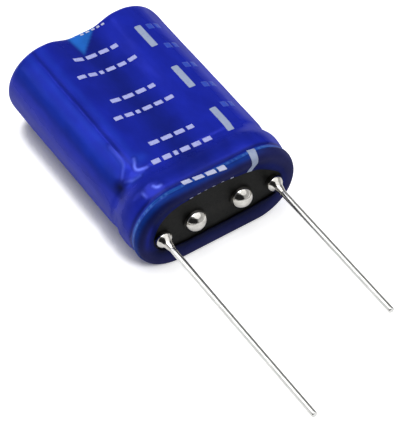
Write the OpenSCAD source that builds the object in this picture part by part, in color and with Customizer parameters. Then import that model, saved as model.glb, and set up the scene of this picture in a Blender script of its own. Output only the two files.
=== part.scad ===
// Supercapacitor module: two sealed cells in series under one heat-shrunk film, with a small
// circuit board across their sealed ends and two long wire leads.
// It lies on its side. The origin is midway between the long leads in the seating plane, where
// the solder on them ends and the module meets the board that it is soldered to.
// +Y runs along the cells away from the leads, +X is towards the short lead, and +Z is up.

/* [Cells] */
// Outer diameter of the bare aluminium can
can_d = 7.8; // [7:0.1:10]
// Length of the can from its curled rim to its closed end
can_len = 21.4; // [16:0.1:30]
// Wall of the can
can_wall = 0.25; // [0.2:0.05:0.35]
// Outer corner radius at the closed end of the can
can_corner_r = 0.7; // [0.4:0.1:1]
// Radius of the curl that closes the can over its bung
curl_r = 0.6; // [0.5:0.05:0.8]
// Distance from the rim of the can to the middle of its rolled groove
groove_at = 2.1; // [1.8:0.1:2.6]
// Depth of the rolled groove
groove_depth = 0.45; // [0.3:0.05:0.6]
// Radius of the wheel that rolls the groove
groove_r = 0.6; // [0.6:0.05:0.75]
// Gap between the two cells, from wrap to wrap
cell_gap = 0.48; // [0.3:0.02:1.5]
// Thickness of the shrunk wrap on each cell
wrap_t = 0.1; // [0.06:0.01:0.15]
// Width of the wrap's rim over each end of the can
wrap_lip = 1.1; // [0.8:0.1:1.6]

/* [Inside a cell] */
// Distance from the rim of the can to the inner face of the rubber bung
bung_len = 3.4; // [3.2:0.1:4.5]
// Diameter of the wound electrodes
winding_d = 6.9; // [6:0.1:7.1]
// Hole through the middle of the winding, left by the winding pin
winding_bore = 0.9; // [0.5:0.1:1.4]
// Space between the bung and the winding
winding_headroom = 0.9; // [0.6:0.1:1.5]
// Space between the winding and the closed end of the can
winding_footroom = 0.5; // [0.3:0.1:1]
// Diameter of the round stem of each electrode tab
stem_d = 1.3; // [1:0.1:1.5]
// Width of the flat blade of each tab
blade_w = 1.5; // [1.2:0.1:1.9]
// Thickness of the flat blade of each tab
blade_t = 0.25; // [0.2:0.05:0.4]
// Length of blade that is wound in with the electrodes
blade_depth = 11; // [6:0.5:11.5]

/* [Leads] */
// Distance between the two leads of one cell
lead_pitch = 3.5; // [3.3:0.1:3.9]
// Diameter of the tinned lead wire
wire_d = 0.6; // [0.5:0.05:0.8]
// Thickness of the wire's tin coat, which melts into the solder inside a joint
tin_t = 0.01; // [0.005:0.005:0.02]
// Length of the long positive lead beyond the seating plane
long_lead = 22.4; // [8:0.1:32]
// Length of the short negative lead beyond the seating plane
short_lead = 16.9; // [4:0.1:28]

/* [Circuit board] */
// Distance from the seating plane to the outer face of the board
board_lift = 1.85; // [1.7:0.05:2.4]
// Width of the board across the cells' axes
board_w = 7.2; // [6.6:0.1:8]
// Thickness of the board
board_t = 1.6; // [1:0.1:2]
// Space between the board and the rims of the cans
board_standoff = 0.6; // [0.4:0.1:1.5]
// Diameter of the lead holes in the board
board_hole_d = 0.9; // [0.85:0.05:1.1]
// Diameter of the copper pad round each hole
pad_d = 1.5; // [1.3:0.1:1.6]
// Width of the copper track that joins the two inner leads
track_w = 1.2; // [0.8:0.1:1.5]
// Thickness of the copper
copper_t = 0.07; // [0.04:0.01:0.1]

/* [Solder] */
// Radius of the solder ball on each inner lead
ball_r = 1.16; // [0.9:0.01:1.2]
// Height of the ball's centre above the board
ball_rise = 0.05; // [0:0.05:0.6]
// Offset of the ball's centre from its lead, upwards
ball_shift = 0.2; // [0:0.05:0.3]
// Depth of solder that covers the cut end of an inner lead
ball_cover = 0.45; // [0.3:0.05:0.6]
// Radius of the solder mound round each long lead
mound_r = 0.8; // [0.75:0.05:0.95]
// Height of the mound's centre above the board
mound_rise = 0.2; // [0.1:0.05:0.4]
// Radius of the foot of the solder cone that climbs each long lead
climb_foot_r = 0.62; // [0.45:0.01:0.65]
// Thickness of solder on the wire at the tip of that cone
climb_skin = 0.04; // [0.03:0.01:0.08]

/* [Outer film] */
// Thickness of the heat-shrunk film
film_t = 0.15; // [0.1:0.01:0.2]
// Clearance between the film and what it is shrunk on
film_gap = 0.06; // [0.05:0.01:0.1]
// Sag of the film between the cells at the far end
valley_sag = 0.75; // [0:0.05:0.8]
// Depth of the waist where the film dips into the grooves of the cans
waist_dip = 0.14; // [0.05:0.01:0.18]
// Height of the swelling over the rims of the cans
swell_h = 0.23; // [0.1:0.01:0.4]
// Height of the film's ridge above the edge of the board
ridge_h = 0.75; // [0.5:0.01:0.9]
// Distance of that ridge behind the board's outer face
ridge_at = 0.45; // [0.3:0.05:0.8]
// Radius of the film's corner at the far end
far_round = 0.8; // [0.7:0.1:1.2]
// Height of the opening that the film leaves over the board
mouth_h = 5.7; // [4.6:0.1:6]
// Room that the opening leaves beside each solder mound
mouth_gap = 0.14; // [0.1:0.02:0.3]
// Distance of the opening's middle above the leads
mouth_rise = 0.6; // [0:0.05:0.7]
// Height of the opening that the film leaves at the far end
far_mouth_h = 5.8; // [4:0.1:6.4]

/* [Fits] */
// Clearance between pieces that are squeezed or drawn together
snug = 0.01; // [0.005:0.005:0.03]

/* [Hidden] */
$fn = 64;

left = -1;
right = 1;
can_r = can_d / 2;
wrap_r = can_r + snug + wrap_t;
cell_pitch = 2 * wrap_r + cell_gap;
cell_x = cell_pitch / 2;
inner_lead_x = cell_x - lead_pitch / 2;
outer_lead_x = cell_x + lead_pitch / 2;
board_r = board_w / 2;
rim_y = board_lift + board_t + board_standoff;
far_y = rim_y + can_len;
// The curled rim dips this far inside the can before the rubber starts
bung_top = can_wall + snug;
winding_at = bung_len + winding_headroom;
winding_len = can_len - can_wall - winding_footroom - winding_at;
stem_end = bung_len + winding_headroom / 2;
// The wires are welded to the tabs this far behind the board's outer face
weld_depth = board_t + board_standoff + bung_top;
core_d = wire_d - 2 * tin_t;
link_reach = ball_rise + sqrt(pow(ball_r, 2) - pow(ball_shift, 2)) - ball_cover;
cone_at = mound_rise + sqrt(pow(mound_r, 2) - pow(climb_foot_r, 2));

// The film's outline in steps along the cells
body_r = wrap_r + film_gap + film_t;
lip_y = board_lift - film_gap - film_t;
film_far_y = far_y + snug + wrap_t + film_gap + film_t;
mouth_r = mouth_h / 2;
mouth_x = outer_lead_x + mound_r + mouth_gap - mouth_r;
far_mouth_r = far_mouth_h / 2;
groove_y = rim_y + groove_at;
groove_half = sqrt(pow(groove_r, 2) - pow(groove_r - groove_depth, 2));
body_from = groove_y + groove_half;
body_to = film_far_y - far_round;
body_steps = 5;
round_steps = 4;
arc_steps = 16;
flat_steps = 10;

// Local frame of a cell: its axis is +Z, from the rim of the can to its closed end
module in_cell(side) {
    translate([side * cell_x, rim_y, 0]) rotate([-90, 0, 0]) children();
}

// Local frame of a lead: +Z points out of the board's outer face, and x is the lead's place
module at_lead(x) {
    translate([x, board_lift, 0]) rotate([90, 0, 0]) children();
}

// Half section of the can's outside, grown by the given amount
module can_outline(grow) {
    r = can_r + grow;
    corner = can_corner_r + grow;
    difference() {
        union() {
            translate([0, -grow]) square([r, can_len + grow - can_corner_r]);
            square([r - corner, can_len + grow]);
            translate([r - corner, can_len - can_corner_r]) circle(corner);
        }
        translate([can_r + groove_r - groove_depth, groove_at]) circle(groove_r - grow);
        translate([-2 * corner, -grow]) square([2 * corner, can_len + 3 * grow]);
    }
}

// Half section of the space inside the can, shrunk by the given amount
module can_space(shrink) {
    r = can_r - can_wall - shrink;
    difference() {
        square([r, can_len - can_wall]);
        translate([can_r + groove_r - groove_depth, groove_at]) {
            circle(groove_r + can_wall + shrink);
        }
    }
}

// Half section of the corner that the curled rim takes, grown by the given amount
module curl_corner(grow) {
    difference() {
        translate([can_r - curl_r - grow, -grow]) square([curl_r + 2 * grow, curl_r + grow]);
        translate([can_r - curl_r, curl_r]) circle(curl_r - can_wall - grow);
    }
}

// Half section of the can: a drawn cup whose rim is curled inwards
module can_section() {
    difference() {
        can_outline(0);
        can_space(0);
        square([can_r, curl_r]);
    }
    intersection() {
        curl_corner(0);
        translate([can_r - curl_r, curl_r]) circle(curl_r);
    }
}

// Aluminium can, drawn in one piece, with its rolled groove and its rim curled over the bung
module can(side) {
    color([0.78, 0.79, 0.8]) in_cell(side) rotate_extrude() can_section();
}

// Thin printed wrap that is shrunk on each can, with a narrow rim over both ends
module cell_wrap(side) {
    color([0.16, 0.2, 0.62]) in_cell(side) rotate_extrude() {
        difference() {
            can_outline(snug + wrap_t);
            can_outline(snug);
            translate([0, -can_len / 2]) square([can_r - wrap_lip, 2 * can_len]);
        }
    }
}

// Rubber bung in the mouth of the can, with a hole for the stem of each tab
module bung(side) {
    color([0.12, 0.12, 0.13]) in_cell(side) difference() {
        rotate_extrude() difference() {
            can_space(snug);
            square([can_r, bung_top]);
            curl_corner(snug);
            translate([0, bung_len]) square([can_r, can_len]);
        }
        for (end = [left, right]) {
            translate([end * lead_pitch / 2, 0, 0]) cylinder(h = can_len, d = stem_d + 2 * snug);
        }
    }
}

// Electrodes and separator paper, wound up together round the two blades
module winding(side) {
    color([0.2, 0.2, 0.21]) in_cell(side) translate([0, 0, winding_at]) difference() {
        cylinder(h = winding_len, d = winding_d);
        translate([0, 0, -1]) cylinder(h = winding_len + 2, d = winding_bore);
        for (end = [left, right]) {
            translate([end * lead_pitch / 2, 0, 0]) {
                cube([blade_t + 2 * snug, blade_w + 2 * snug, 2 * (blade_depth + snug)], center = true);
            }
        }
    }
}

// Aluminium tab: a round stem through the bung, flattened to a blade inside the winding
module tab(side, end) {
    blade_len = winding_at + blade_depth - stem_end;
    color([0.82, 0.83, 0.84]) in_cell(side) translate([end * lead_pitch / 2, 0, 0]) {
        translate([0, 0, bung_top]) cylinder(h = stem_end - bung_top, d = stem_d);
        translate([-blade_t / 2, -blade_w / 2, stem_end]) cube([blade_t, blade_w, blade_len]);
    }
}

// Core of a wire, welded to the stem of a tab and led out through the board by the given reach
module wire_core(reach) {
    translate([0, 0, -weld_depth]) cylinder(h = weld_depth + reach, d = core_d);
}

// Wire that runs past the seating plane. Its tin coat fades into the cone of solder
module long_wire(free_len) {
    rotate_extrude() polygon([
        [0, board_lift + free_len],
        [wire_d / 2, board_lift + free_len],
        [wire_d / 2, board_lift],
        [core_d / 2, cone_at],
        [core_d / 2, -weld_depth],
        [0, -weld_depth]
    ]);
}

module lead_wire(x, free_len) {
    color([0.8, 0.81, 0.82]) at_lead(x) long_wire(free_len);
}

// Short wire, cut off inside a ball of solder
module link_wire(x) {
    color([0.8, 0.81, 0.82]) at_lead(x) wire_core(link_reach);
}

// Outline of the copper that joins the two inner leads
module link_outline() {
    square([2 * inner_lead_x, track_w], center = true);
    for (side = [left, right]) {
        translate([side * inner_lead_x, 0]) circle(d = pad_d);
    }
}

// Outline of the two pads of the long leads
module pad_outline() {
    for (side = [left, right]) {
        translate([side * outer_lead_x, 0]) circle(d = pad_d);
    }
}

// The four holes that the leads pass through
module lead_holes() {
    for (x = [-outer_lead_x, -inner_lead_x, inner_lead_x, outer_lead_x]) {
        at_lead(x) cylinder(h = 3 * board_t, d = board_hole_d, center = true);
    }
}

// Copper foil, let in flush with the board's outer face
module link_track() {
    color([0.25, 0.2, 0.12]) difference() {
        at_lead(0) translate([0, 0, -copper_t]) linear_extrude(copper_t) link_outline();
        lead_holes();
    }
}

module lead_pads() {
    color([0.75, 0.5, 0.3]) difference() {
        at_lead(0) translate([0, 0, -copper_t]) linear_extrude(copper_t) pad_outline();
        lead_holes();
    }
}

// Black board with round ends across the two cells
module circuit_board() {
    color([0.08, 0.08, 0.08]) difference() {
        at_lead(0) translate([0, 0, -board_t]) linear_extrude(board_t) {
            square([cell_pitch, board_w], center = true);
            for (side = [left, right]) {
                translate([side * cell_x, 0]) circle(d = board_w);
            }
        }
        at_lead(0) translate([0, 0, -copper_t]) linear_extrude(2 * copper_t) {
            link_outline();
            pad_outline();
        }
        lead_holes();
    }
}

// Ball of solder that buries the cut end of an inner lead
module solder_ball(x) {
    color([0.85, 0.85, 0.86]) at_lead(x) difference() {
        translate([0, ball_shift, ball_rise]) sphere(ball_r);
        translate([0, 0, -ball_r]) cube([4 * ball_r, 4 * ball_r, 2 * ball_r], center = true);
        wire_core(link_reach);
    }
}

// Mound of solder round a long lead, with a cone that climbs the wire to the seating plane
module solder_mound(x) {
    color([0.85, 0.85, 0.86]) at_lead(x) difference() {
        union() {
            translate([0, 0, mound_rise]) sphere(mound_r);
            translate([0, 0, cone_at]) {
                cylinder(h = board_lift - cone_at, r1 = climb_foot_r, r2 = wire_d / 2 + climb_skin);
            }
        }
        translate([0, 0, -mound_r]) cube([4 * mound_r, 4 * mound_r, 2 * mound_r], center = true);
        long_wire(1);
    }
}

// One ring of the film: two round ends and two flats that sag between the cells
function film_ring(y, x, r, sag, z) = concat(
    [for (i = [0 : arc_steps]) let (a = 90 - 180 * i / arc_steps) [x + r * cos(a), y, z + r * sin(a)]],
    [for (i = [1 : flat_steps - 1]) let (u = 1 - 2 * i / flat_steps)
        [x * u, y, z - r + sag * (1 + cos(180 * u)) / 2]],
    [for (i = [0 : arc_steps]) let (a = 270 - 180 * i / arc_steps) [-x + r * cos(a), y, z + r * sin(a)]],
    [for (i = [1 : flat_steps - 1]) let (u = 2 * i / flat_steps - 1)
        [x * u, y, z + r - sag * (1 + cos(180 * u)) / 2]]
);

// Sag of the film along the module: none over the board, and all of it at the far end
function sag_at(y) = valley_sag * max(0, min(1, (y - groove_y) / (body_to - groove_y)));

// Steps of the film's outer face, from the mouth over the board to the far mouth.
// Each step is [y, half width between the round ends' centres, radius, height of the middle]
film_steps = concat(
    [
        [lip_y, mouth_x, mouth_r, mouth_rise],
        [lip_y, (mouth_x + cell_x) / 2, (mouth_r + board_r) / 2, mouth_rise / 2],
        [lip_y, cell_x, board_r + 2 * film_gap, 0],
        [board_lift + ridge_at, cell_x, board_r + ridge_h, 0],
        [board_lift + board_t + film_gap, cell_x, board_r + ridge_h - film_gap, 0],
        [rim_y + curl_r, cell_x, body_r + swell_h, 0],
        [(rim_y + curl_r + groove_y) / 2, cell_x, body_r + swell_h / 2, 0],
        [groove_y, cell_x, body_r - waist_dip, 0]
    ],
    [for (i = [0 : body_steps]) [body_from + (body_to - body_from) * i / body_steps, cell_x, body_r, 0]],
    [for (i = [1 : round_steps]) let (a = 90 * i / round_steps)
        [body_to + far_round * sin(a), cell_x, body_r - far_round * (1 - cos(a)), 0]],
    [[film_far_y, cell_x, far_mouth_r, 0]]
);
last_step = len(film_steps) - 1;

// Direction square to the outer face at a step, pointing out of the film
function film_normal(i) =
    let (
        a = film_steps[max(i - 1, 0)],
        b = film_steps[min(i + 1, last_step)],
        run = [b[0] - a[0], b[2] - a[2]]
    )
    [-run[1], run[0]] / norm(run);

outer_rings = [for (s = film_steps) film_ring(s[0], s[1], s[2], sag_at(s[0]), s[3])];
inner_rings = [for (i = [last_step : -1 : 0])
    let (s = film_steps[i], n = film_normal(i) * film_t)
    film_ring(s[0] - n[0], s[1], s[2] - n[1], sag_at(s[0]), s[3])];

// Heat-shrunk film round both cells and the edge of the board, open at both ends
module outer_film() {
    rings = concat(outer_rings, inner_rings);
    count = len(rings);
    size = len(rings[0]);
    points = [for (ring = rings) each ring];
    faces = [for (i = [0 : count - 1], j = [0 : size - 1])
        let (
            a = i * size + j,
            b = i * size + (j + 1) % size,
            c = ((i + 1) % count) * size + (j + 1) % size,
            d = ((i + 1) % count) * size + j
        )
        each [[a, b, c], [a, c, d]]];
    color([0.12, 0.16, 0.68]) polyhedron(points, faces);
}

outer_film();
circuit_board();
link_track();
lead_pads();
solder_mound(-outer_lead_x);  // solder_mound_left
solder_ball(-inner_lead_x);  // solder_ball_left
solder_ball(inner_lead_x);  // solder_ball_right
solder_mound(outer_lead_x);  // solder_mound_right
lead_wire(-outer_lead_x, long_lead);  // long_lead_wire
link_wire(-inner_lead_x);  // link_wire_left
link_wire(inner_lead_x);  // link_wire_right
lead_wire(outer_lead_x, short_lead);  // short_lead_wire
can(left);  // can_left
can(right);  // can_right
cell_wrap(left);  // cell_wrap_left
cell_wrap(right);  // cell_wrap_right
bung(left);  // bung_left
bung(right);  // bung_right
winding(left);  // winding_left
winding(right);  // winding_right
tab(left, left);  // tab_outer_left
tab(left, right);  // tab_inner_left
tab(right, left);  // tab_inner_right
tab(right, right);  // tab_outer_right
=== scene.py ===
"""Looks of the supercapacitor module. Lengths are in millimetres until a mesh is made."""
import math

import bpy
import numpy as np
from mathutils import Matrix, Vector


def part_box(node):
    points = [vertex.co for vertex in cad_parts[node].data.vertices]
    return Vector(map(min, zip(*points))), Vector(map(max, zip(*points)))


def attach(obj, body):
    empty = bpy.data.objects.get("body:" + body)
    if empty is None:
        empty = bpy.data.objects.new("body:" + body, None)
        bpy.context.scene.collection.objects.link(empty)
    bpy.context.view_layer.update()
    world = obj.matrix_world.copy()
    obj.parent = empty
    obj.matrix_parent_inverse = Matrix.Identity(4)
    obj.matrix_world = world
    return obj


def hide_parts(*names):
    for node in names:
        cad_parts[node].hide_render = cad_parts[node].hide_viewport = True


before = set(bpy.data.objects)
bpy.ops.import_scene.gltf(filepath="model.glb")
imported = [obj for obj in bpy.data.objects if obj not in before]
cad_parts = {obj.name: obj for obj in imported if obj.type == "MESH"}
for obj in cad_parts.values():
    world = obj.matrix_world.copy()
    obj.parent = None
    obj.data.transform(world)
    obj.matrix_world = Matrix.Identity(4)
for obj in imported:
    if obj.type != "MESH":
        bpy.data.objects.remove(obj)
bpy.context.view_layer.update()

MM = 0.001


def span(node):
    """Lowest and highest corner of a CAD node, in millimetres."""
    low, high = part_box(node)
    return np.array(low) / MM, np.array(high) / MM


# ---------------------------------------------------------------- places taken from the CAD frame
film_low, film_high = span("outer_film")
board_low, _ = span("circuit_board")
can_low, can_high = span("can_right")
ball_low, ball_high = span("solder_ball_right")
mound_low, mound_high = span("solder_mound_right")
long_low, long_high = span("long_lead_wire")
short_low, short_high = span("short_lead_wire")

CELL_X = (can_low[0] + can_high[0]) / 2
LEAD_X = (short_low[0] + short_high[0]) / 2
LINK_X = 2 * CELL_X - LEAD_X
BOARD_Y = board_low[1]
LIP_Y = film_low[1]
FAR_Y = film_high[1]
BALL_R = (ball_high[2] - ball_low[2]) / 2
BALL_Z = (ball_low[2] + ball_high[2]) / 2
BALL_TOP = BOARD_Y - ball_low[1]
MOUND_R = (mound_high[2] - mound_low[2]) / 2
SEAT_Y = mound_low[1]
WIRE_R = (short_high[2] - short_low[2]) / 2


# ---------------------------------------------------------------- mesh helpers
def smooth_curve(points, per, closed=False):
    """Catmull-Rom curve through the points, finely sampled."""
    p = np.asarray(points, float)
    n = len(p)
    out = []
    for i in range(n if closed else n - 1):
        if closed:
            a, b, c, d = (p[(i + k) % n] for k in (-1, 0, 1, 2))
        else:
            a, b, c, d = p[max(i - 1, 0)], p[i], p[i + 1], p[min(i + 2, n - 1)]
        t = np.linspace(0, 1, per, endpoint=False)[:, None]
        out.append(0.5 * (2 * b + (c - a) * t + (2 * a - 5 * b + 4 * c - d) * t**2
                          + (3 * b - a - 3 * c + d) * t**3))
    out.append(p[:1] if closed else p[-1:])
    return np.vstack(out)


def lengths(curve):
    """Length of a curve up to each of its points."""
    return np.r_[0, np.cumsum(np.linalg.norm(np.diff(curve, axis=0), axis=1))]


def along(curve, where):
    """Points of a curve at the given lengths along it."""
    s = lengths(curve)
    return np.column_stack([np.interp(where, s, curve[:, k]) for k in range(curve.shape[1])])


def grid_faces(rows, cols, start=0, flip=False, wrap=True):
    """Four-sided faces of a grid of points, closed across its columns where it wraps."""
    i, j = np.meshgrid(np.arange(rows - 1), np.arange(cols if wrap else cols - 1), indexing="ij")
    k = (j + 1) % cols
    quads = np.stack([i * cols + j, i * cols + k, (i + 1) * cols + k, (i + 1) * cols + j], -1)
    quads = quads.reshape(-1, 4) + start
    return quads[:, ::-1] if flip else quads


def make(name, points, faces, smooth=True):
    """A mesh object from points in millimetres and a list of faces."""
    mesh = bpy.data.meshes.new(name)
    corners = (np.asarray(points, float) * MM).tolist()
    mesh.from_pydata(corners, [], [list(map(int, f)) for f in faces])
    mesh.validate()
    mesh.polygons.foreach_set("use_smooth", [smooth] * len(mesh.polygons))
    mesh.update()
    piece = bpy.data.objects.new(name, mesh)
    bpy.context.scene.collection.objects.link(piece)
    return piece


def paint(piece, name, colours):
    """Stores a colour for each point of the mesh."""
    layer = piece.data.color_attributes.new(name, "FLOAT_COLOR", "POINT")
    layer.data.foreach_set("color", np.column_stack([colours, np.ones(len(colours))]).ravel())


def step(x, a, b):
    """Eased step from 0 at a to 1 at b."""
    t = np.clip((x - a) / (b - a), 0, 1)
    return t * t * (3 - 2 * t)


def bump(x, middle, half):
    """Rounded bump of height 1. It has fallen to 0.37 at the half width."""
    return np.exp(-((x - middle) / half) ** 2)


# ---------------------------------------------------------------- the heat-shrunk film
# Columns: how many go round each cell and along each flat between the cells
ARC, FLAT = 110, 60
COLS = 2 * (ARC + FLAT)
# Rows: close together by the rim, wider apart on the body, and a fixed number at each end
RIM_GAP, BODY_GAP = 0.085, 0.36
BODY_FROM, BODY_TO = 8.8, 24.6
FOLD_ROWS, FAR_ROWS = 13, 20
# Rows by the rim of which the inner side keeps every third
RIM_ROWS = 60
FILM_T = 0.12
BODY_R = 4.22
SAG = 0.75
SAG_FROM, SAG_TO = 6.15, 24.97


def ring_shape():
    """For each column of the film, its turn from straight up and its share of the flat."""
    half = np.arange(FLAT // 2) / (FLAT // 2)
    turn = math.pi * np.arange(ARC) / ARC
    flat = np.arange(FLAT) / FLAT
    angle = np.r_[0 * half, turn, math.pi + 0 * flat, math.pi + turn, 2 * math.pi + 0 * half]
    share = np.r_[half, 1 + 0 * turn, 1 - 2 * flat, -1 + 0 * turn, half - 1]
    return angle, share


ANGLE, SHARE = ring_shape()
# Distance round the film from the middle of its top, negative towards the long lead
ROUND = np.where(ANGLE < 1e-9, SHARE * CELL_X, CELL_X + BODY_R * ANGLE)
past = ANGLE >= math.pi
ROUND = np.where(past, CELL_X + BODY_R * math.pi + (1 - SHARE) * CELL_X, ROUND)
ROUND = np.where(ANGLE > math.pi + 1e-9, 3 * CELL_X + BODY_R * ANGLE, ROUND)
TOTAL = 4 * CELL_X + 2 * math.pi * BODY_R
ROUND = np.where(ANGLE > 2 * math.pi - 1e-9, TOTAL + SHARE * CELL_X, ROUND)
U = np.where(ROUND > TOTAL / 2, ROUND - TOTAL, ROUND)

# Half section of the film's outside, as [y, radius about the cell's axis]
PROFILE = [
    [LIP_Y, 3.55], [1.645, 3.78], [1.70, 4.02], [1.86, 4.20], [2.10, 4.31], [2.36, 4.36],
    [2.60, 4.335], [2.80, 4.245], [2.97, 4.20], [3.14, 4.225], [3.42, 4.31], [3.80, 4.38],
    [4.20, 4.43], [4.58, 4.44], [4.95, 4.39], [5.30, 4.29], [5.65, 4.17], [5.92, 4.095],
    [6.18, 4.07], [6.44, 4.10], [6.74, 4.18], [7.20, 4.21], [8.20, BODY_R], [12.0, BODY_R],
    [17.0, BODY_R], [22.0, BODY_R], [24.3, BODY_R], [24.97, 4.21], [25.28, 4.15],
    [25.54, 3.98], [25.71, 3.72], [FAR_Y, 3.42], [FAR_Y, 3.16], [FAR_Y - 0.02, 2.9],
]
# Edge of the opening over the board, as [x, z], clockwise from the middle of its top
MOUTH = [
    [0.4, 3.40], [2.0, 3.18], [3.6, 2.90], [4.8, 2.43], [5.6, 1.89], [6.4, 1.20], [6.85, 0.45],
    [6.95, -0.40], [6.72, -1.25], [6.0, -1.74], [4.7, -1.93], [2.4, -2.07], [-0.8, -2.10],
    [-4.0, -2.07], [-5.4, -1.88], [-6.3, -1.46], [-6.82, -0.65], [-6.93, 0.05], [-6.80, 0.72],
    [-6.45, 1.48], [-5.8, 2.30], [-4.6, 2.95], [-3.2, 3.28], [-1.6, 3.41],
]
# Small folds left by the shrinking, as a path of [u, y] places, half width, height and whitening:
# the strength of a painted highlight along the fold, partly the film's own whitening at its crease
FOLDS = [
    ([[-4.85, 7.98], [-5.05, 7.55], [-5.29, 7.20], [-5.33, 6.86], [-5.15, 6.66], [-4.80, 6.55],
      [-4.38, 6.48]], 0.15, 0.036, 0.80),
    ([[-5.82, 10.7], [-5.80, 9.60], [-5.88, 8.40], [-6.10, 7.90], [-6.50, 7.45], [-6.92, 7.08]],
     0.20, 0.045, 0.26),
    ([[-6.88, 6.64], [-6.55, 6.42], [-6.22, 6.20], [-5.85, 6.10], [-5.42, 6.08]],
     0.20, 0.040, 0.34),
    ([[-5.20, 4.06], [-5.06, 3.80], [-4.84, 3.72], [-4.62, 3.74]], 0.20, 0.030, 0.80),
    ([[-6.28, 4.22], [-6.32, 3.95], [-6.28, 3.66]], 0.22, 0.040, 0.36),
    ([[-7.20, 4.60], [-7.32, 4.10], [-7.55, 3.60]], 0.24, 0.040, 0.0),
    ([[-8.60, 7.20], [-8.35, 6.30], [-8.15, 5.50]], 0.26, 0.050, 0.0),
    ([[-9.80, 6.60], [-9.45, 5.40], [-9.30, 4.10]], 0.26, 0.050, 0.0),
    ([[-12.2, 7.10], [-12.0, 5.90], [-11.6, 4.60]], 0.26, 0.050, 0.0),
    ([[-14.6, 6.80], [-14.6, 5.50], [-14.9, 4.20]], 0.26, 0.050, 0.0),
    ([[5.30, 6.60], [5.90, 6.10], [6.50, 5.90]], 0.24, 0.040, 0.0),
    ([[8.20, 7.00], [8.30, 6.00], [8.60, 4.80]], 0.26, 0.045, 0.0),
    ([[10.6, 6.90], [10.5, 5.60], [10.2, 4.40]], 0.26, 0.050, 0.0),
    ([[13.4, 6.80], [13.5, 5.50], [13.9, 4.30]], 0.26, 0.050, 0.0),
    ([[-8.10, 23.6], [-8.60, 24.3], [-8.90, 25.0]], 0.26, 0.040, 0.0),
    ([[-11.2, 24.2], [-11.1, 24.8], [-11.0, 25.3]], 0.26, 0.040, 0.0),
    ([[9.00, 24.0], [9.10, 24.7], [9.30, 25.3]], 0.26, 0.040, 0.0),
    ([[-17.5, 22.0], [-17.6, 23.5], [-18.1, 25.0]], 0.28, 0.040, 0.0),
    ([[17.2, 23.0], [17.5, 24.0], [17.9, 25.1]], 0.28, 0.040, 0.0),
]
# Dents, as a place, two half widths and a depth
DENTS = [
    [-7.55, 6.80, 0.42, 0.55, 0.085],
    [-10.8, 5.75, 0.5, 0.5, 0.03],
    [7.2, 6.2, 0.5, 0.45, 0.03],
]
# The long crease beside the left cell's top
CREASE_U = -5.66


def off_path(path, u, y):
    """Distance of places from a smooth path on the film, and the share of the path passed there."""
    track = smooth_curve(path, 5)
    u, y = np.broadcast_arrays(u, y)
    best, share = np.full(u.shape, 9.0), np.zeros(u.shape)
    for k in range(len(track) - 1):
        step_u, step_y = track[k + 1] - track[k]
        t = ((u - track[k, 0]) * step_u + (y - track[k, 1]) * step_y) / (step_u**2 + step_y**2)
        t = np.clip(t, 0, 1)
        off = np.hypot(u - track[k, 0] - t * step_u, y - track[k, 1] - t * step_y)
        share = np.where(off < best, (k + t) / (len(track) - 1), share)
        best = np.minimum(best, off)
    return best, share


def relief(u, y):
    """How far the film stands out of its plain shape at a place, in millimetres."""
    free = step(y, 2.9, 4.2) * (1 - step(y, 24.9, 25.5))
    h = 0.008 * np.sin(0.83 * y + 0.6 * u + 1.0) * np.sin(0.71 * u - 0.23 * y)
    h = h + 0.006 * np.sin(1.9 * u + 0.4 * y + 2.0) * np.sin(1.1 * y + 0.3 * u)
    h = h + 0.010 * np.sin(2.6 * u + 1.3) * np.sin(2.1 * y + 0.9 * u) * bump(y, 5.2, 1.6)
    fade = step(y, 8.4, 10.5) * (1 - step(y, 24.0, 25.0))
    wander = CREASE_U + 0.03 * np.sin(0.9 * y) + 0.015 * np.sin(2.3 * y + 1)
    away = u - wander
    h = h + fade * 0.10 * np.exp(-np.sqrt(away**2 + 0.0016) / np.where(away < 0, 0.60, 0.26))
    for path, half, high, _ in FOLDS:
        off, t = off_path(path, u, y)
        h = h + high * np.exp(-np.sqrt(off**2 + 0.004) / half) * (0.35 + 0.65 * np.sin(math.pi * t))
    for u0, y0, hu, hy, deep in DENTS:
        h = h - deep * bump(u, u0, hu) * bump(y, y0, hy)
    return h * free


def sag_at(x, y):
    """Sag of the film between the cells: none at the waist, and all of it at the far end."""
    t = np.clip((np.abs(x) / CELL_X - 0.16) / 0.80, 0, 1)
    depth = SAG * np.clip((y - SAG_FROM) / (SAG_TO - SAG_FROM), 0, 1)
    return depth * (1 - t**3 * (10 - 15 * t + 6 * t * t))


def film_row(y, r):
    """One ring of points on the film's plain shape, with the sag between the cells."""
    x = SHARE * CELL_X + r * np.sin(ANGLE)
    z = r * np.cos(ANGLE)
    sag = np.where(np.abs(SHARE) < 1, sag_at(SHARE * CELL_X, y), 0)
    return np.column_stack([x, np.full(COLS, y), z - np.sign(z) * sag])


def film_rows():
    """Rows of the film's outside, from the mouth's edge to the far opening."""
    section = smooth_curve(PROFILE, 40)
    s = lengths(section)
    near, far = np.interp([BODY_FROM, BODY_TO], section[:, 0], s)
    where = np.r_[np.arange(0, near, RIM_GAP), np.arange(near, far, BODY_GAP),
                  np.linspace(far, s[-1], FAR_ROWS)]
    profile = along(section, where)
    rows = [film_row(y, r) for y, r in profile]
    first = rows[0]
    edge = smooth_curve(MOUTH, 16, closed=True)
    top = np.argmin(np.abs(edge[:, 0]) + (edge[:, 1] < 0) * 9)
    edge = np.vstack([edge[top:-1], edge[:top + 1]])
    share = lengths(np.vstack([first, first[:1]]))
    share = share[:-1] / share[-1]
    mouth = along(edge, share * lengths(edge)[-1])
    wobble = 0.020 * np.sin(share * 61) + 0.014 * np.sin(share * 143 + 1)
    lip = np.column_stack([mouth[:, 0], np.full(COLS, LIP_Y), mouth[:, 1] + wobble])
    fold = [lip + (first - lip) * k for k in np.linspace(0, 1, FOLD_ROWS + 1)[:-1]]
    return np.array(fold + rows), np.r_[[LIP_Y] * FOLD_ROWS, profile[:, 0]]


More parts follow.
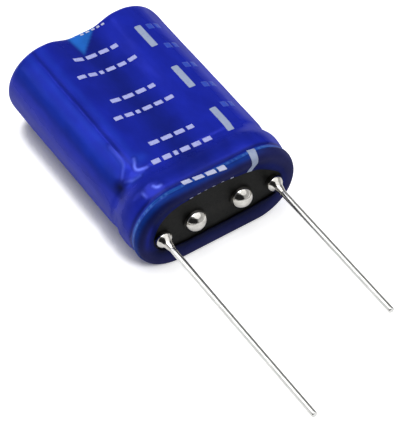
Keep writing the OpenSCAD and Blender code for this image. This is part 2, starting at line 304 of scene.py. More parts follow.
def square_out(grid):
    """Unit normals of a grid of points that is closed across, pointing out of the film."""
    down = np.gradient(grid, axis=0)
    across = np.roll(grid, -1, 1) - np.roll(grid, 1, 1)
    n = np.cross(down, across)
    n = n / np.maximum(np.linalg.norm(n, axis=2, keepdims=True), 1e-9)
    # The first column lies on top, where outwards is up
    return n if n[len(n) // 2, 0, 2] > 0 else -n


outside, ROW_Y = film_rows()
outside = outside + square_out(outside) * relief(U[None, :], ROW_Y[:, None])[:, :, None]
normal = square_out(outside)
ROWS = len(outside)
# The inner side needs fewer rows, because it only shows at the two openings
rim_end, far_start = FOLD_ROWS + RIM_ROWS, ROWS - FAR_ROWS
keep = np.unique(np.r_[np.arange(0, rim_end, 3), np.arange(rim_end, far_start, 6),
                       np.arange(far_start, ROWS, 2), ROWS - 1])
inside = (outside - normal * FILM_T)[keep]


def film_mesh():
    """The film with its outer side, its inner side and the edges of both openings."""
    points = np.vstack([outside.reshape(-1, 3), inside.reshape(-1, 3)])
    n, m = ROWS * COLS, len(keep)
    faces = [grid_faces(ROWS, COLS), grid_faces(m, COLS, n, flip=True)]
    j = np.arange(COLS)
    k = (j + 1) % COLS
    faces.append(np.column_stack([j, n + j, n + k, k]))
    last, inner = (ROWS - 1) * COLS, n + (m - 1) * COLS
    faces.append(np.column_stack([last + j, last + k, inner + k, inner + j]))
    return make("film_sleeve", points, np.vstack(faces))


film = film_mesh()
# The bead round the mouth, in front of the rim, where the film is stretched over the board's edge:
# lighter, with a painted highlight
BEAD_FROM, BEAD_TO = 2.34, 2.96


def film_colours():
    """Colour of the film at each point: its own blues, lighter where nothing lies under it and
    darker over the board, with painted highlights, painted reflections and painted shade.
    """
    x, y, z = (outside[:, :, k] for k in range(3))
    u = np.broadcast_to(U[None, :], x.shape)
    royal = np.array([0.0115, 0.0235, 0.43])
    # A blue for painted shade
    deep = np.array([0.0065, 0.0145, 0.215])
    # Navy of the fold over the board, also used for painted shade in the groove, the dent and along
    # the mouth's lower edge
    navy = np.array([0.0040, 0.0085, 0.075])
    # A blue for painted highlights
    highlight_blue = np.array([0.019, 0.060, 0.57])
    # The bead's lighter blue, partly a painted highlight
    ridge = np.array([0.018, 0.100, 0.42])
    # Painted glints on the bead
    pale = np.array([0.060, 0.170, 0.58])
    azure = np.array([0.020, 0.165, 0.66])
    glint = np.array([0.150, 0.210, 0.86])
    pure = np.array([0.0003, 0.0205, 0.34])
    # A painted grey sheen on the fold
    dusk = np.array([0.0175, 0.0200, 0.102])
    # A painted highlight before the bead
    teal = np.array([0.0040, 0.0320, 0.250])
    c = np.ones(x.shape + (3,)) * royal

    def mix(colour, mask):
        nonlocal c
        mask = np.clip(mask, 0, 1)[..., None]
        c = c * (1 - mask) + colour * mask

    # Places are given as u round the film and y along it, as in FOLDS
    upper = step(z, 0.5, 2.5)
    body = step(y, 6.4, 8.2)
    # Painted shade where the film spans the gap between the cells, and beside it towards the left
    # cell's top
    mix(deep, 0.85 * bump(u, -0.5, 1.75) * upper * step(y, 2.9, 3.4))
    mix(deep, 0.30 * bump(u, -3.4, 0.9) * body)
    # Left of the crease a painted highlight, right of it painted shade in the crease and then a
    # weaker painted highlight; further left a painted dark reflection, a purer blue over the band
    # between, and painted shade down the left side
    mix(highlight_blue, 0.42 * bump(u, -6.10, 0.34) * body)
    mix(deep, 0.75 * bump(u, -5.42, 0.17) * body)
    mix(highlight_blue, 0.30 * bump(u, -4.75, 0.40) * body)
    mix(deep, 0.80 * bump(u, -8.10, 0.50) * step(y, 4.6, 6.0))
    mix(pure, 0.90 * bump(u, -7.45, 0.95) * body)
    mix(deep, 0.30 * step(-u, 8.4, 9.2))
    # Over the rim of the cells: painted highlights on the waist and beside the L-shaped fold, and
    # painted shade on the swell and in the groove before the bead
    mix(highlight_blue, 0.50 * bump(u, -5.9, 0.9) * bump(y, 6.15, 0.35))
    mix(deep, 0.45 * bump(y, 4.5, 0.9) * (1 - 0.6 * step(u, 5.0, 7.0)))
    mix(navy, 0.70 * bump(y, 3.12, 0.20))
    mix(deep, 0.45 * bump(u, -6.4, 1.1) * bump(y, 4.65, 0.40))
    mix(highlight_blue, 0.60 * bump(u, -4.35, 0.75) * bump(y, 7.75, 0.60))
    # Painted highlights along the sharper folds, partly the film's own whitening at the crease,
    # with painted shade in the hollows beside them
    for track, _, _, white in FOLDS:
        if white:
            off, t = off_path(track, u, y)
            swell = 0.45 + 0.55 * np.sin(math.pi * np.clip(t, 0.08, 0.92))
            mix(deep, 0.35 * bump(off, 0.26, 0.12))
            mix(glint, white * bump(off, 0, 0.13) * swell)
    # A painted highlight between the folds, and painted shade in the dent
    mix(royal * 1.15, 0.64 * bump(u, -5.85, 0.35) * bump(y, 7.35, 0.45))
    mix(navy * 0.8, 0.97 * bump(u, -7.58, 0.56) * bump(y, 6.72, 0.72))
    # Light comes through at the far end, where nothing lies under the film
    reach = np.clip((y - 22.3) / 3.0, 0, 1)
    wedge = step(reach * 1.60 - np.abs(x + 1.45 - 1.33 * reach), -0.10, 0.42)
    mix(azure, 0.95 * wedge * upper * (y > 22.2))
    # The fold over the board's edge is navy, with a painted grey sheen that makes it paler
    # outwards, and a painted highlight runs as a seam before the bead
    fold = 1 - step(y, 2.30, 2.46)
    mix(navy, fold)
    # Rows from the mouth's edge, as shares of the fold
    row = np.arange(ROWS)[:, None] * np.ones(COLS)[None, :] / FOLD_ROWS
    left_end = bump(x, -6.5, 3.0) * step(z, -1.5, 0.5)
    mix(dusk, fold * step(row, 0.30, 1.1) * (0.95 - 0.65 * left_end))
    mix(teal, 0.85 * fold * step(y, 1.70, 2.15) * step(z, -3.4, -1.0) * step(-x, -6.5, -3.0))
    # Along the bead the lighter blue carries a painted highlight of uneven strength, with painted
    # glints on its upper side
    patchy = 0.75 + 0.25 * np.sin(1.9 * u) * np.sin(0.7 * u + 1)
    bead = step(y, BEAD_FROM, 2.46) * (1 - step(y, 2.80, BEAD_TO))
    mix(ridge, bead * patchy)
    bead_glints = np.sin(9.3 * u + 1.2 * np.sin(4.1 * u)) * np.sin(5.7 * u + 0.8) > 0.35
    mix(pale, 0.95 * bump(y, 2.60, 0.13) * bead_glints * step(z, 0.0, 1.5) * step(-u, -6.2, -5.0))
    # A lighter band near the mouth, painted shade along its lower edge, and a painted highlight
    # streak at its left end
    mix(royal * 0.42, 0.35 * bump(row, 0.35, 0.25) * step(z, -4, 0.5))
    mix(navy * 0.16, 0.90 * bump(row, 0, 0.45) * step(-z, 0.9, 1.7))
    mix(royal * 0.85, 0.55 * bump(row, 0.8, 0.3) * step(-x, 6.6, 7.4) * step(z, -1.5, 0.5))
    # The inner side has the same colours with painted shade, at 0.8 of their level
    return np.vstack([c.reshape(-1, 3), (c[keep] * 0.8).reshape(-1, 3)])


paint(film, "tint", film_colours())
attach(film, "root")
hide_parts("outer_film")


# ---------------------------------------------------------------- print on the film
def film_at(u, row):
    """Points and normals of the film's outside, at places round it and at rows."""
    order = np.argsort(U)
    col = np.interp(u, U[order], np.arange(COLS))
    i = np.clip(np.floor(row).astype(int), 0, ROWS - 2)
    j = np.clip(np.floor(col).astype(int), 0, COLS - 2)
    a, b = (row - i)[..., None], (col - j)[..., None]
    out = []
    for grid in (outside[:, order], normal[:, order]):
        out.append((grid[i, j] * (1 - a) + grid[i + 1, j] * a) * (1 - b)
                   + (grid[i, j + 1] * (1 - a) + grid[i + 1, j + 1] * a) * b)
    return out


def row_of(y):
    """Row of the film's outside at a distance along the cells."""
    return np.interp(y, ROW_Y[FOLD_ROWS:], np.arange(FOLD_ROWS, ROWS))


# How far the underside of the ink lies inside the film
INK_SUNK = 0.004


def ink(name, patches, high=0.012):
    """Closed patches of ink on the film. Each is a grid of places round the film and of rows."""
    points, faces, start = [], [], 0
    for u, row in patches:
        p, n = film_at(u, row)
        rows, cols = u.shape
        points += [(p + n * high).reshape(-1, 3), (p - n * INK_SUNK).reshape(-1, 3)]
        size = rows * cols
        faces += [grid_faces(rows, cols, start, wrap=False),
                  grid_faces(rows, cols, start + size, flip=True, wrap=False)]
        # Once round the edge of the patch, to join its two sides
        loop = np.r_[np.arange(cols), np.arange(1, rows) * cols + cols - 1,
                     (rows - 1) * cols + np.arange(cols - 2, -1, -1),
                     np.arange(rows - 2, 0, -1) * cols]
        after = np.roll(loop, -1)
        faces.append(np.column_stack([start + after, start + loop,
                                      start + size + loop, start + size + after]))
        start += 2 * size
    piece = make(name, np.vstack(points), np.vstack(faces))
    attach(piece, "root")
    return piece


# Size of a print patch's cells, and the share of its half width that its corners draw in
PATCH_CELL, CORNER = 0.10, 0.03


def patch(u0, u1, y0, y1, tilt=0.0):
    """A patch with eased corners. Its far and near ends climb by the tilt across its width."""
    nu = max(5, int(abs(u1 - u0) / PATCH_CELL) + 2)
    nv = max(5, int(abs(y1 - y0) / PATCH_CELL) + 2)
    a, b = np.meshgrid(np.linspace(-1, 1, nu), np.linspace(-1, 1, nv), indexing="xy")
    u = (u0 + u1) / 2 + a * (u1 - u0) / 2 * (1 - CORNER * b**8)
    y = (y0 + y1) / 2 + b * (y1 - y0) / 2 * (1 - CORNER * a**8) + tilt * (u - (u0 + u1) / 2)
    return u, row_of(y)


BAR_U0, BAR_U1 = 4.12, 4.82
BAR_FAR, BAR_NEAR, BAR_PERIOD = 22.42, 19.14, 6.56
bars = [patch(BAR_U0, BAR_U1, BAR_NEAR - BAR_PERIOD * k, BAR_FAR - BAR_PERIOD * k, -0.05)
        for k in range(3)]
# The fourth bar bends over the rim and runs down to the mouth's edge
bend = np.linspace(row_of(2.90), 0.3, 46)
down = (bend[0] - bend) / (bend[0] - bend[-1])
across = np.linspace(-1, 1, 9)
bar_u = np.add.outer(4.42 - 0.38 * (2 * down - down**2), 0 * across)
bar_u = bar_u + np.outer(0.37 - 0.06 * down, across)
bars.append((bar_u, np.add.outer(bend, 0 * across) - np.outer(1 - down, across)))
bar_marks = ink("polarity_bars", bars)

# How much the rows of print climb for each millimetre across
SLANT = -0.06


def row_of_marks(u0, y0, u1, widths, high, gap):
    """Generic dashes in a row that climbs with the print. The widths are shares of the room."""
    total = sum(widths)
    room = (u1 - u0) - gap * (len(widths) - 1)
    out, u = [], u0
    for w in widths:
        wide = room * w / total
        middle = u + wide / 2
        y = y0 + SLANT * (middle - u0)
        out.append(patch(u, u + wide, y - high / 2, y + high / 2, SLANT))
        u += wide + gap
    return out


PRINT_FAR, PRINT_PERIOD = 22.05, 6.67
marks = []
for k in range(3):
    y = PRINT_FAR - PRINT_PERIOD * k
    marks += row_of_marks(-2.75, y, 1.85, [1.0, 1.1, 1.0, 0.7], 0.52, 0.30)
    marks += row_of_marks(-3.75, y - 2.43 + 0.18 * k, 2.40,
                          [0.9, 0.9, 0.45, 1.0, 0.9, 0.9], 0.50, 0.30)
print_marks = ink("print_dashes", marks)

# One row lies over the bead, one is cut off by the mouth's edge and one by the far corner
cut = []
for u, wide in [(-2.90, 0.85), (-1.80, 0.95), (-0.60, 0.95), (0.60, 0.75)]:
    a, b = np.meshgrid(np.linspace(u, u + wide, 9), np.linspace(row_of(2.32), row_of(2.92), 9),
                       indexing="xy")
    cut.append((a, b - 1.6 * (a + 1.0)))
for k, (u, wide) in enumerate([(-3.45, 0.40), (-2.45, 0.34), (-1.58, 0.30), (-0.62, 0.34),
                               (0.46, 0.32), (1.62, 0.36)]):
    cut.append(np.meshgrid(np.linspace(u, u + wide, 5), np.linspace(0.25, 3.2 + 0.8 * (k % 2), 6),
                           indexing="xy"))
for u, wide, y in [(-0.25, 0.34, 25.15), (0.35, 0.40, 25.17), (0.98, 0.34, 25.14),
                   (1.52, 0.30, 25.06), (2.00, 0.30, 24.95)]:
    cut.append(patch(u, u + wide, y - 0.13, y + 0.13, SLANT))
cut_marks = ink("print_cut_off", cut)

FAINT_FAR, FAINT_PERIOD = 21.9, 3.15
faint = []
for k in range(5):
    faint += row_of_marks(5.30 + 0.05 * k, FAINT_FAR - FAINT_PERIOD * k, 6.75 + 0.05 * k,
                          [1.0, 0.8], 0.75, 0.25)
faint_marks = ink("print_faint", faint, high=0.008)


# ---------------------------------------------------------------- solder and leads
def turned(section, x, z=0.0, sides=72, wander=0.0, seed=0.0):
    """A closed solid turned about an axis along the leads.

    The section is a list of [height over the board, radius] pairs. With wander it is a little
    uneven, in a way that the seed picks.
    """
    section = np.asarray(section, float)
    turn = 2 * math.pi * np.arange(sides) / sides
    height, r = section[1:-1, 0][:, None], section[1:-1, 1][:, None]
    top = max(section[:, 0])
    grow = 1 + wander * (np.sin(2 * turn + seed) + 0.6 * np.sin(3 * turn - 2 * seed + 2.1 * height))
    lean = wander * 0.8 * (height / top) ** 2
    points = np.stack([x + r * grow * np.cos(turn) + lean * math.cos(seed),
                       BOARD_Y - height + 0 * turn,
                       z + r * grow * np.sin(turn) + lean * math.sin(seed)], -1)
    rows = len(section) - 2
    body = points.reshape(-1, 3)
    ends = [[x, BOARD_Y - section[0, 0], z], [x, BOARD_Y - section[-1, 0], z]]
    j = np.arange(sides)
    k = (j + 1) % sides
    base = len(body)
    faces = grid_faces(rows, sides).tolist()
    faces += np.column_stack([np.full(sides, base), k, j]).tolist()
    last = (rows - 1) * sides
    faces += np.column_stack([np.full(sides, base + 1), last + j, last + k]).tolist()
    return np.vstack([body, ends]), faces


def solder_drop(name, node, x, z, section, seed):
    """A ball or mound of solder in the place of a CAD node."""
    points, faces = turned(section, x, z, wander=0.012, seed=seed)
    piece = make(name, points, faces)
    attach(piece, "root")
    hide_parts(node)
    return piece


ball_rise = BALL_TOP - BALL_R
tilt_from = -math.asin(ball_rise / BALL_R)
ball_arc = np.linspace(tilt_from, math.pi / 2, 46)
ball_section = [[0.0, 0.0], [0.0, BALL_R * 0.94], [0.012, BALL_R * 0.96]]
ball_section += [[ball_rise + BALL_R * math.sin(a), BALL_R * math.cos(a)] for a in ball_arc[2:-1]]
ball_section += [[BALL_TOP, 0.0]]

# The mound bulges over its foot, draws in along the lead and ends just inside the wire
tall = BOARD_Y - SEAT_Y
mound_sides = [
    [0.0, 0.98], [0.16, 1.03], [0.36, 1.065], [0.56, 1.04], [0.74, 0.935],
    [0.90, 0.78], [1.04, 0.655], [1.22, 0.565], [1.45, 0.495],
]
mound_curve = smooth_curve([
    *([height, MOUND_R * share] for height, share in mound_sides),
    [tall - 0.15, WIRE_R + 0.034], [tall, WIRE_R + 0.006],
], 8)
mound_section = [
    [0.0, 0.0], *mound_curve.tolist(),
    [tall + 0.04, WIRE_R - 0.006], [tall + 0.06, WIRE_R - 0.03], [tall + 0.06, 0.0],
]

solder = [
    solder_drop("solder_bead_left", "solder_ball_left", -LINK_X, BALL_Z, ball_section, 0.6),
    solder_drop("solder_bead_right", "solder_ball_right", LINK_X, BALL_Z, ball_section, 2.3),
    solder_drop("solder_fillet_left", "solder_mound_left", -LEAD_X, 0, mound_section, 1.4),
    solder_drop("solder_fillet_right", "solder_mound_right", LEAD_X, 0, mound_section, 4.0),
]


def drawn_wire(name, node, x, low, high):
    """A lead: drawn wire with a snipped end."""
    start, end = BOARD_Y - high, BOARD_Y - low
    r = WIRE_R
    where = np.linspace(start + 0.05, end - 0.12, 90)
    section = [[start, 0.0], [start, r - 0.03]]
    section += [[h, r * (1 + 0.006 * math.sin(2.3 * h) * math.sin(0.9 * h + 1))] for h in where]
    section += [[end - 0.05, r * 0.96], [end - 0.01, r * 0.80], [end, r * 0.55], [end, 0.0]]
    points, faces = turned(section, x, sides=40)
    piece = make(name, points, faces)
    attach(piece, "root")
    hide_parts(node)
    return piece


leads = [
    drawn_wire("lead_long", "long_lead_wire", -LEAD_X, long_low[1], long_high[1]),
    drawn_wire("lead_short", "short_lead_wire", LEAD_X, short_low[1], short_high[1]),
]


# ---------------------------------------------------------------- materials
# Sockets of a Mix node that mixes colours, whose names it shares with its other kinds
MIX_A, MIX_B, MIX_RESULT = 6, 7, 2
RANGE_KEYS = ("From Min", "From Max", "To Min", "To Max")
# The range that noise mostly keeps to
NOISE_LOW, NOISE_HIGH = 0.3, 0.7


def srgb(*colour):
    """Linear levels of a colour given in screen values from 0 to 255."""
    return tuple(c / 255 / 12.92 if c <= 10 else ((c / 255 + 0.055) / 1.055) ** 2.4 for c in colour)


class Finish:
    """A procedural material with a few short ways to add its nodes."""

    def __init__(self, name, roughness, metallic=0.0, ior=1.5):
        self.material = bpy.data.materials.new(name)
        self.material.use_nodes = True
        self.tree = self.material.node_tree
        self.shader = self.tree.nodes["Principled BSDF"]
        self.shader.inputs["Metallic"].default_value = metallic
        self.shader.inputs["IOR"].default_value = ior
        self.shader.inputs["Roughness"].default_value = roughness
        self.place = self.node("ShaderNodeTexCoord").outputs["Object"]
        self.height = None

    def node(self, kind, **inputs):
        n = self.tree.nodes.new(kind)
        for key, value in inputs.items():
            self.put(n.inputs[key], value)
        return n

    def put(self, socket, value):
        if isinstance(value, bpy.types.NodeSocket):
            self.tree.links.new(value, socket)
        else:
            socket.default_value = value

    def mapped(self, scale):
        """Coordinates in millimetres, stretched by the scale."""
        m = self.node("ShaderNodeMapping", Vector=self.place)
        m.inputs["Scale"].default_value = [s / MM for s in scale]
        return m.outputs["Vector"]

    def noise(self, scale, detail, rough=0.55):
        """Noise with a scale in waves for each millimetre, one for all axes or one for each."""
        scale = scale if hasattr(scale, "__len__") else (scale,) * 3
        n = self.node("ShaderNodeTexNoise", Vector=self.mapped(scale), Scale=1.0, Detail=detail,
                      Roughness=rough)
        return n.outputs["Fac"]

    def spots(self, scale):
        """Distance from scattered points, a few for each millimetre."""
        n = self.node("ShaderNodeTexVoronoi", Vector=self.mapped((scale,) * 3), Scale=1.0)
        return n.outputs["Distance"]

    def spread(self, value, from_low, from_high, to_low, to_high):
        """A value carried from one range to another and held within it."""
        m = self.node("ShaderNodeMapRange", Value=value)
        for key, number in zip(RANGE_KEYS, (from_low, from_high, to_low, to_high)):
            m.inputs[key].default_value = number
        return m.outputs["Result"]

    def drift(self, noise, low, high):
        """Noise carried to a range."""
        return self.spread(noise, NOISE_LOW, NOISE_HIGH, low, high)

    def blend(self, share, a, b, mode="MIX"):
        """Two colours mixed by a share."""
        m = self.tree.nodes.new("ShaderNodeMix")
        m.data_type, m.blend_type = "RGBA", mode
        self.put(m.inputs["Factor"], share)
        for socket, value in zip((m.inputs[MIX_A], m.inputs[MIX_B]), (a, b)):
            self.put(socket, value if isinstance(value, bpy.types.NodeSocket) else (*value, 1))
        return m.outputs[MIX_RESULT]

    def node_sum(self, a, b):
        n = self.tree.nodes.new("ShaderNodeMath")
        self.put(n.inputs[0], a)
        self.put(n.inputs[1], b)
        return n.outputs[0]

    def base(self, colour):
        self.put(self.shader.inputs["Base Color"], colour)

    def mottled(self, share, a, b):
        """Base colour that drifts between two colours given in screen values."""
        self.base(self.blend(share, srgb(*a), srgb(*b)))

    def rough(self, value):
        self.put(self.shader.inputs["Roughness"], value)

    def raise_by(self, value, depth):
        """Adds relief of the given depth in millimetres."""
        b = self.node("ShaderNodeBump", Height=value)
        b.inputs["Strength"].default_value = 1.0
        b.inputs["Distance"].default_value = depth * MM
        if self.height is not None:
            self.put(b.inputs["Normal"], self.height)
        self.height = b.outputs["Normal"]
        self.put(self.shader.inputs["Normal"], self.height)

    def on(self, *pieces):
        for piece in pieces:
            piece.data.materials.clear()
            piece.data.materials.append(self.material)


# Film: glossy, slightly drawn along the cells, with a fine orange-peel skin over a bright layer
def film_finish(name, metallic, ior, low, high):
    f = Finish(name, low, metallic=metallic, ior=ior)
    tint = f.node("ShaderNodeVertexColor")
    tint.layer_name = "tint"
    mottle = f.drift(f.noise((0.55, 0.28, 0.55), 3), 0.86, 1.14)
    grey = f.node("ShaderNodeCombineColor", Red=mottle, Green=mottle, Blue=mottle).outputs["Color"]
    f.base(f.blend(1.0, tint.outputs["Color"], grey, "MULTIPLY"))
    skin = f.drift(f.noise((1.4, 0.25, 1.4), 4), low, high)
    facing = f.node("ShaderNodeLayerWeight", Blend=0.5).outputs["Facing"]
    edge_on = f.spread(facing, 0.40, 0.90, 0.0, 0.42)
    f.rough(f.node_sum(skin, edge_on))
    f.raise_by(f.noise((1.6, 0.5, 1.6), 3), 0.014)
    f.raise_by(f.noise(9.0, 2), 0.0010)
    return f


film_finish("film_blue", 0.25, 1.20, 0.17, 0.26).on(film)
film.data.materials.append(film_finish("film_fold", 0.10, 1.10, 0.26, 0.38).material)
# The fold before the bead has the second, duller material
fold_cells = np.zeros(len(film.data.polygons), dtype=np.int32)
fold_cells[:int(row_of(BEAD_FROM)) * COLS] = 1
film.data.polygons.foreach_set("material_index", fold_cells)


def ink_finish(name, colour, wear, target):
    """Printed ink that lets the film's blue through where it is worn."""
    f = Finish(name, 0.42)
    patchy = f.spread(f.noise((2.4, 2.4, 2.4), 5, 0.65), 0.60, 0.74, 0.0, wear)
    shade = f.drift(f.noise(0.8, 3), 0.0, 0.35)
    body = f.blend(shade, colour, [c * 0.82 for c in colour])
    f.base(f.blend(patchy, body, srgb(60, 66, 180)))
    f.rough(f.drift(f.noise(5.0, 3), 0.34, 0.50))
    f.raise_by(f.noise(14.0, 3), 0.0015)
    f.on(target)


ink_finish("ink_grey_blue", srgb(156, 170, 200), 0.45, bar_marks)
ink_finish("ink_lavender", srgb(172, 178, 236), 0.55, print_marks)
ink_finish("ink_specks", srgb(190, 195, 225), 0.5, cut_marks)
ink_finish("ink_faint", srgb(38, 72, 188), 0.9, faint_marks)

# Board: black solder mask with a fine grain
f = Finish("board_black", 0.42, ior=1.20)
f.mottled(f.spread(f.noise(3.0, 5, 0.6), 0.3, 0.75, 0, 1), (13, 14, 14), (25, 25, 24))
f.rough(f.drift(f.noise(7.0, 3), 0.36, 0.55))
f.raise_by(f.noise(22.0, 3), 0.003)
f.raise_by(f.noise(2.0, 3), 0.006)
f.on(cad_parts["circuit_board"])

# Track: copper under the same solder mask, a little smoother
f = Finish("track_masked", 0.36, ior=1.20)
f.mottled(f.spread(f.noise(3.0, 5, 0.6), 0.3, 0.75, 0, 1), (15, 16, 15), (28, 27, 24))
f.rough(f.drift(f.noise(7.0, 3), 0.30, 0.46))
f.raise_by(f.noise(16.0, 3), 0.003)
f.on(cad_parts["link_track"])

# Pads: bare copper
f = Finish("pad_copper", 0.38, metallic=1.0)
f.mottled(f.spread(f.noise(4.0, 5), 0.35, 0.7, 0, 1), (222, 150, 110), (160, 96, 70))
f.rough(f.drift(f.noise(9.0, 3), 0.30, 0.5))
f.raise_by(f.noise(20.0, 3), 0.002)
f.on(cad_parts["lead_pads"])

# Solder: bright, faintly frosted where it froze last, with a few pits
f = Finish("solder_bright", 0.12, metallic=1.0)
f.mottled(f.spread(f.noise(2.2, 5, 0.6), 0.35, 0.7, 0, 1), (217, 215, 210), (188, 185, 179))
f.rough(f.spread(f.noise(3.0, 4), 0.3, 0.72, 0.05, 0.14))
f.raise_by(f.noise(1.6, 2), 0.016)
f.raise_by(f.spread(f.spots(2.6), 0.0, 0.10, 0.0, 1.0), 0.003)
f.on(*solder)

# Leads: drawn tinned wire with fine marks along it
f = Finish("wire_tinned", 0.16, metallic=1.0)
f.mottled(f.spread(f.noise((6, 0.5, 6), 4), 0.35, 0.7, 0, 1), (230, 230, 228), (205, 205, 203))
f.rough(f.drift(f.noise((9.0, 0.4, 9.0), 4), 0.18, 0.28))
f.raise_by(f.noise((20.0, 0.5, 20.0), 3), 0.0003)
f.raise_by(f.noise(3.0, 3), 0.0012)
f.on(*leads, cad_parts["link_wire_left"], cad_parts["link_wire_right"])

# Cans: drawn aluminium, turned marks on the closed end
f = Finish("can_aluminium", 0.34, metallic=1.0)
f.mottled(f.drift(f.noise(1.4, 4), 0, 1), (208, 210, 214), (176, 178, 184))
f.rough(f.drift(f.noise((3.0, 14.0, 3.0), 4), 0.26, 0.44))
f.raise_by(f.noise((4.0, 18.0, 4.0), 3), 0.004)
f.raise_by(f.noise(0.9, 3), 0.01)
f.on(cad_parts["can_left"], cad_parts["can_right"])

# Wraps: thin blue shrunk tube, drawn along the cells
f = Finish("wrap_blue", 0.30)
f.mottled(f.drift(f.noise(0.9, 4), 0, 1), (46, 56, 176), (30, 38, 140))
f.rough(f.drift(f.noise((2.0, 0.5, 2.0), 4), 0.24, 0.38))
f.raise_by(f.noise((2.2, 0.8, 2.2), 3), 0.008)
f.on(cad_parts["cell_wrap_left"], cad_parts["cell_wrap_right"])

# Bungs: dull black rubber
f = Finish("bung_rubber", 0.62)
f.mottled(f.drift(f.noise(2.0, 5), 0, 1), (26, 26, 27), (44, 43, 43))
f.rough(f.drift(f.noise(5.0, 3), 0.52, 0.74))
f.raise_by(f.noise(12.0, 4), 0.006)
f.on(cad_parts["bung_left"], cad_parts["bung_right"])

# Windings: the edges of coated foil and paper, in fine layers
f = Finish("winding_carbon", 0.70)
layers = f.node("ShaderNodeTexWave", Vector=f.mapped((1.0, 0.02, 1.0)), Scale=2.4, Distortion=1.2)
f.mottled(layers.outputs["Fac"], (30, 30, 31), (74, 72, 68))
f.rough(f.drift(f.noise(4.0, 3), 0.6, 0.85))
f.raise_by(layers.outputs["Fac"], 0.01)
f.on(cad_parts["winding_left"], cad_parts["winding_right"])

# Tabs: rolled aluminium strip
f = Finish("tab_aluminium", 0.30, metallic=1.0)
f.mottled(f.drift(f.noise(3.0, 4), 0, 1), (222, 223, 226), (190, 191, 196))
f.rough(f.drift(f.noise((8.0, 1.0, 8.0), 4), 0.22, 0.40))
f.raise_by(f.noise((14.0, 1.0, 14.0), 3), 0.003)
f.on(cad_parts["tab_outer_left"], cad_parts["tab_inner_left"],
     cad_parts["tab_inner_right"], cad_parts["tab_outer_right"])


# ---------------------------------------------------------------- floor, light and camera
def seen_by(tree, shares):
    """The share given for the kind of ray that looks, or nothing for a kind that isn't named."""
    path = tree.nodes.new("ShaderNodeLightPath")
    total = None
    for kind, share in shares.items():
        n = tree.nodes.new("ShaderNodeMath")
        n.operation = "MULTIPLY_ADD"
        tree.links.new(path.outputs[kind], n.inputs[0])
        n.inputs[1].default_value = share
        n.inputs[2].default_value = 0.0
        if total:
            tree.links.new(total, n.inputs[2])
        total = n.outputs[0]
    return total


FLOOR_GAP = 0.01
FLOOR_HALF = 3000.0
FLOOR_LEVEL = 0.86
SHADOW_REACH = 4.2
WINDOW = Vector((0.62, -0.45, 0.64)).normalized()
floor = make("floor", [[x * FLOOR_HALF, y * FLOOR_HALF, film_low[2] - FLOOR_GAP]
                       for x, y in ((-1, -1), (1, -1), (1, 1), (-1, 1))],
             [[0, 1, 2, 3]], smooth=False)
stuff = bpy.data.materials.new("floor_white")
stuff.use_nodes = True
tree = stuff.node_tree
tree.nodes.clear()
result = tree.nodes.new("ShaderNodeOutputMaterial")
matte = tree.nodes.new("ShaderNodeBsdfDiffuse")
matte.inputs["Color"].default_value = (FLOOR_LEVEL, FLOOR_LEVEL, FLOOR_LEVEL, 1)
glow = tree.nodes.new("ShaderNodeEmission")
# The white gives way to a shadow in the narrow gap under the film, away from the window
gap = tree.nodes.new("ShaderNodeAmbientOcclusion")
gap.inputs["Distance"].default_value = SHADOW_REACH * MM
gap.samples = 32
window = tree.nodes.new("ShaderNodeCombineXYZ")
for socket, number in zip(window.inputs, WINDOW):
    socket.default_value = number
tree.links.new(window.outputs["Vector"], gap.inputs["Normal"])
open_sky = tree.nodes.new("ShaderNodeMapRange")
open_sky.interpolation_type = "SMOOTHSTEP"
for key, number in zip(RANGE_KEYS, (0.38, 0.50, 0.0, 1.0)):
    open_sky.inputs[key].default_value = number
tree.links.new(gap.outputs["AO"], open_sky.inputs["Value"])
# The lamps light the floor to about its own level. Metal sees it just white, and the camera
# well past white.
added = seen_by(tree, {"Is Camera Ray": 0.60, "Is Glossy Ray": 0.20, "Is Transmission Ray": 0.20})
shaded = tree.nodes.new("ShaderNodeMath")
shaded.operation = "MULTIPLY"
tree.links.new(open_sky.outputs["Result"], shaded.inputs[0])
tree.links.new(added, shaded.inputs[1])
tree.links.new(shaded.outputs[0], glow.inputs["Strength"])
both = tree.nodes.new("ShaderNodeAddShader")
tree.links.new(matte.outputs[0], both.inputs[0])
tree.links.new(glow.outputs[0], both.inputs[1])
tree.links.new(both.outputs[0], result.inputs["Surface"])
floor.data.materials.append(stuff)


LAMP_AIM = Vector((0.0, 0.010, 0.0))


def softbox(name, direction, distance, size, power):
    """An area lamp that looks at the module from a direction. Distance and size are in metres."""
    lamp = bpy.data.lights.new(name, "AREA")
    lamp.shape = "RECTANGLE"
    lamp.size, lamp.size_y = size
    lamp.energy = power
    holder = bpy.data.objects.new(name, lamp)
    bpy.context.scene.collection.objects.link(holder)
    d = Vector(direction).normalized()
    holder.location = LAMP_AIM + d * distance
    holder.rotation_mode = "QUATERNION"
    holder.rotation_quaternion = d.to_track_quat("Z", "Y")


softbox("lamp_top", (-0.16, 0.22, 0.96), 0.50, (0.38, 0.38), 1.30)
softbox("lamp_back_left", (-0.60, 0.57, 0.56), 0.60, (0.16, 0.30), 0.24)

world = bpy.data.worlds.new("studio")
bpy.context.scene.world = world
world.use_nodes = True
tree = world.node_tree
tree.nodes.clear()
result = tree.nodes.new("ShaderNodeOutputWorld")
where = tree.nodes.new("ShaderNodeTexCoord")
axes = tree.nodes.new("ShaderNodeSeparateXYZ")
tree.links.new(where.outputs["Generated"], axes.inputs[0])


def eased(value, low, high):
    """0 where the value is below low, 1 above high, and a smooth step between."""
    n = tree.nodes.new("ShaderNodeMapRange")
    n.interpolation_type = "SMOOTHSTEP"
    tree.links.new(value, n.inputs["Value"])
    for key, number in zip(RANGE_KEYS, (low, high, 0.0, 1.0)):
        n.inputs[key].default_value = number
    return n.outputs["Result"]


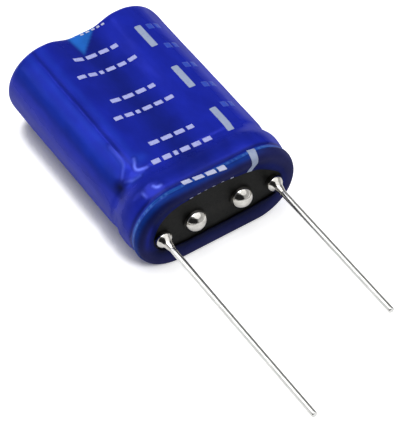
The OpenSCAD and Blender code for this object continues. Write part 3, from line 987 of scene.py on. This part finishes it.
def towards(direction):
    """Cosine of the angle between a ray and a direction."""
    n = tree.nodes.new("ShaderNodeVectorMath")
    n.operation = "DOT_PRODUCT"
    n.inputs[1].default_value = Vector(direction).normalized()
    tree.links.new(where.outputs["Generated"], n.inputs[0])
    return n.outputs["Value"]


def level_by_height(stops):
    """Grey that goes by how steeply a ray climbs, from [sine of its elevation, level] pairs."""
    ramp = tree.nodes.new("ShaderNodeValToRGB")
    ramp.color_ramp.interpolation = "EASE"
    for at, _ in stops[1:-1]:
        ramp.color_ramp.elements.new(at)
    for element, (at, level) in zip(ramp.color_ramp.elements, stops):
        element.position = at
        element.color = (level, level, level, 1)
    tree.links.new(axes.outputs["Z"], ramp.inputs["Fac"])
    return ramp.outputs["Color"]


# Behind the module, the low part of the room is bright on the left and dark on the right.
# In front it is dark on the left, over a bright strip at the floor, and pale on the right.
behind_right = level_by_height([(0.0, 0.04), (0.26, 0.05), (0.38, 0.26), (0.80, 0.30), (1.0, 0.50)])
behind_left = level_by_height([(0.0, 0.82), (0.28, 0.86), (0.40, 0.46), (0.80, 0.30), (1.0, 0.50)])
before_left = level_by_height([(0.0, 0.70), (0.03, 0.50), (0.12, 0.02), (0.74, 0.02), (1.0, 0.40)])
before_right = level_by_height([(0.0, 0.62), (0.30, 0.58), (0.50, 0.50), (0.75, 0.40), (1.0, 0.40)])
front_share = eased(towards((0.10, -0.99, 0.0)), -0.25, 0.05)


def mixed(share, a, b):
    """Two of the room's levels mixed by a share."""
    n = tree.nodes.new("ShaderNodeMix")
    n.data_type = "RGBA"
    for socket, value in zip((n.inputs["Factor"], n.inputs[MIX_A], n.inputs[MIX_B]), (share, a, b)):
        tree.links.new(value, socket)
    return n.outputs[MIX_RESULT]


behind = mixed(eased(axes.outputs["X"], -0.50, 0.10), behind_left, behind_right)
before = mixed(eased(axes.outputs["X"], -0.06, 0.26), before_left, before_right)
# A large white sheet hangs overhead, in front of the lamp
OVERHEAD = 1.4
overhead = level_by_height([(0.0, OVERHEAD), (0.5, OVERHEAD), (1.0, OVERHEAD)])
room_level = mixed(eased(towards((0.33, -0.30, 0.90)), 0.83, 0.88),
                   mixed(front_share, behind, before), overhead)
room = tree.nodes.new("ShaderNodeBackground")
tree.links.new(room_level, room.inputs["Color"])
white = tree.nodes.new("ShaderNodeBackground")
white.inputs["Color"].default_value = (1, 1, 1, 1)
# Metal still reflects the room and its dark parts, as the solder does in the photo
seen_white = seen_by(tree, {"Is Camera Ray": 1.0, "Is Transmission Ray": 1.0})
pick = tree.nodes.new("ShaderNodeMixShader")
tree.links.new(seen_white, pick.inputs["Fac"])
tree.links.new(room.outputs[0], pick.inputs[1])
tree.links.new(white.outputs[0], pick.inputs[2])
tree.links.new(pick.outputs[0], result.inputs["Surface"])

# The camera, fitted to the solder joints, the film's outline and the lead tips
AZIMUTH, ELEVATION, ROLL = math.radians(-30.7005), math.radians(48.5146), math.radians(-2.9975)
TARGET, DISTANCE = Vector((-1.5962, 2.2526, 0)) * MM, 218.2047 * MM
SENSOR, LENS = 36, 202.82
back = Vector((math.sin(AZIMUTH) * math.cos(ELEVATION), -math.cos(AZIMUTH) * math.cos(ELEVATION),
               math.sin(ELEVATION)))
side = Vector((math.cos(AZIMUTH), math.sin(AZIMUTH), 0))
up = back.cross(side)
right = side * math.cos(ROLL) + up * math.sin(ROLL)
camera = bpy.data.cameras.new("camera")
camera.sensor_width = SENSOR
camera.lens = LENS
camera.clip_start, camera.clip_end = 0.005, 20
eye = bpy.data.objects.new("camera", camera)
bpy.context.scene.collection.objects.link(eye)
turn = Matrix((right, back.cross(right), back)).transposed().to_4x4()
eye.matrix_world = Matrix.Translation(TARGET + back * DISTANCE) @ turn
bpy.context.scene.camera = eye
bpy.context.scene.view_settings.view_transform = "Standard"
